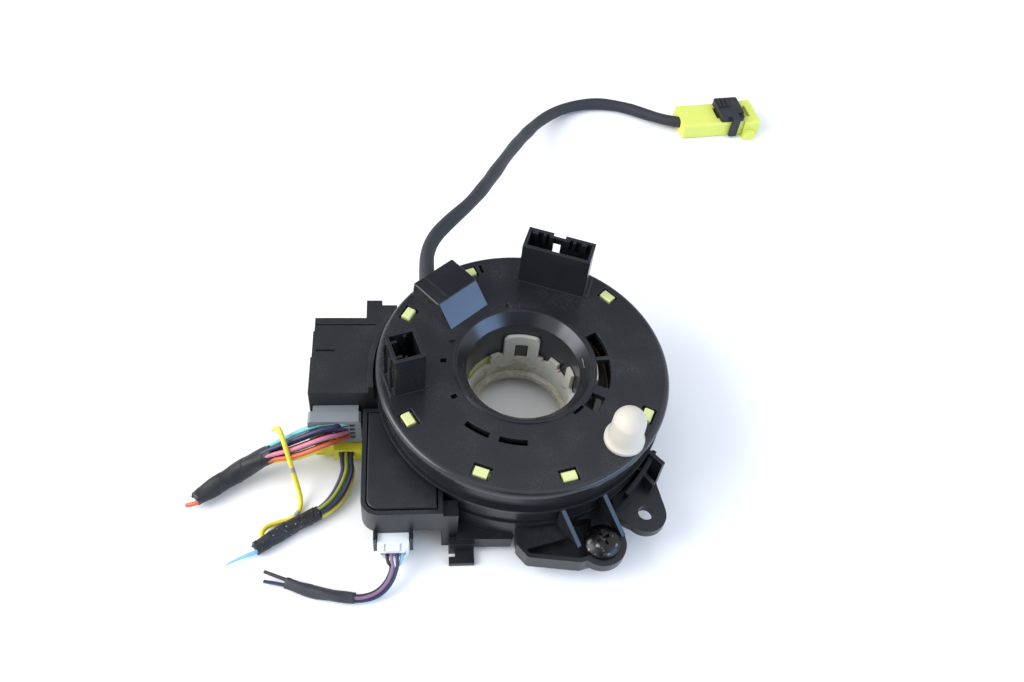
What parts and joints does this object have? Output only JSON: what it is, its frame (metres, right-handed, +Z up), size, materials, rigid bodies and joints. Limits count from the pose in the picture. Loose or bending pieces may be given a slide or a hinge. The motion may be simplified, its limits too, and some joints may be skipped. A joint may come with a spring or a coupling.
{
  "type": "steering clock spring",
  "caption": "Round clock spring for a steering column: a turning top with switch sockets and an airbag lead on a fixed base with plugs and cut harness ends.",
  "frame": {"origin": "centre of the seating collar's bottom face, on the rotor axis", "axes": "+Z up the rotor axis from the column towards the steering wheel, +X along the front face of the plug module towards the sensor tray's right side"},
  "size_m": [0.2559, 0.2677, 0.0584],
  "materials": {
    "black_moulding": "satin black moulding with fine dust",
    "green_moulding": "satin yellow-green moulding",
    "milky_moulding": "milky white moulding with grease marks",
    "cream_moulding": "satin cream moulding",
    "tin_contact": "tin plated",
    "nylon_block": "plain",
    "cable_film": "clear film over copper",
    "slide_film": "waxy",
    "board_laminate": "varnished",
    "chip_resin": "plain",
    "gear_moulding": "plain",
    "magnet_metal": "dark",
    "grey_plug": "satin grey moulding",
    "yellow_plug": "satin yellow moulding",
    "white_plug": "satin white moulding",
    "screw_steel": "black passivated with worn edges",
    "lead_sleeve": "dull woven sleeve",
    "harness_tape": "dull wrapped tape",
    "sleeve_tube": "dull tube",
    "wire_bundle": "coloured wire insulation",
    "yellow_wire": "wire insulation"
  },
  "bodies": {
    "base": {"stator_case": "black_moulding", "chamber_floor": "black_moulding", "base_housing": "black_moulding", "sensor_lid": "black_moulding", "module_case": "black_moulding", "module_cover": "black_moulding", "main_socket_pins": "tin_contact", "airbag_socket_pins": "tin_contact", "header_pins": "tin_contact", "outer_cable_block": "nylon_block", "flat_cable": "cable_film", "slide_sheet": "slide_film", "sensor_board": "board_laminate", "sensor_chips": "chip_resin", "main_plug": "grey_plug", "airbag_plug": "yellow_plug", "sensor_plug": "white_plug", "ear_screw": "screw_steel", "main_harness_tape": "harness_tape", "airbag_harness_tape": "harness_tape", "sensor_harness_sleeve": "sleeve_tube", "main_harness": "wire_bundle", "airbag_harness": "wire_bundle", "sensor_harness": "wire_bundle", "spare_wire": "yellow_wire"},
    "rotor": {"rotor_plate": "black_moulding", "hook_ring": "green_moulding", "gear_sleeve": "green_moulding", "cancel_sleeve": "milky_moulding", "outlet_cover": "black_moulding", "pin_cap": "cream_moulding", "large_socket_pins": "tin_contact", "small_socket_pins": "tin_contact", "inner_cable_block": "nylon_block", "airbag_lead": "lead_sleeve", "airbag_connector": "yellow_plug"},
    "first_gear": {"first_gear": "gear_moulding", "first_magnet": "magnet_metal"},
    "second_gear": {"second_gear": "gear_moulding", "second_magnet": "magnet_metal"},
    "lock": {"connector_lock": "black_moulding"}
  },
  "joints": [
    {"name": "rotor_turn", "type": "hinge", "parent": "base", "child": "rotor", "pos_m": [0, 0, 0.0375], "axis": [0, 0, 1], "range_deg": [-900, 900]},
    {"name": "first_gear_turn", "type": "hinge", "parent": "base", "child": "first_gear", "pos_m": [-0.03388, -0.01956, 0.0096], "axis": [0, 0, 1], "range_deg": [-3000, 3000]},
    {"name": "second_gear_turn", "type": "hinge", "parent": "base", "child": "second_gear", "pos_m": [-0.01731, -0.03397, 0.0096], "axis": [0, 0, 1], "range_deg": [-3375, 3375]},
    {"name": "lock_slide", "type": "slide", "parent": "rotor", "child": "lock", "axis": [0.9903, 0.1392, 0], "range_m": [0, 0.003]}
  ],
  "couplings": [
    {"joint": "first_gear_turn", "follows": "rotor_turn", "ratio": -3.3333},
    {"joint": "second_gear_turn", "follows": "rotor_turn", "ratio": -3.75}
  ]
}
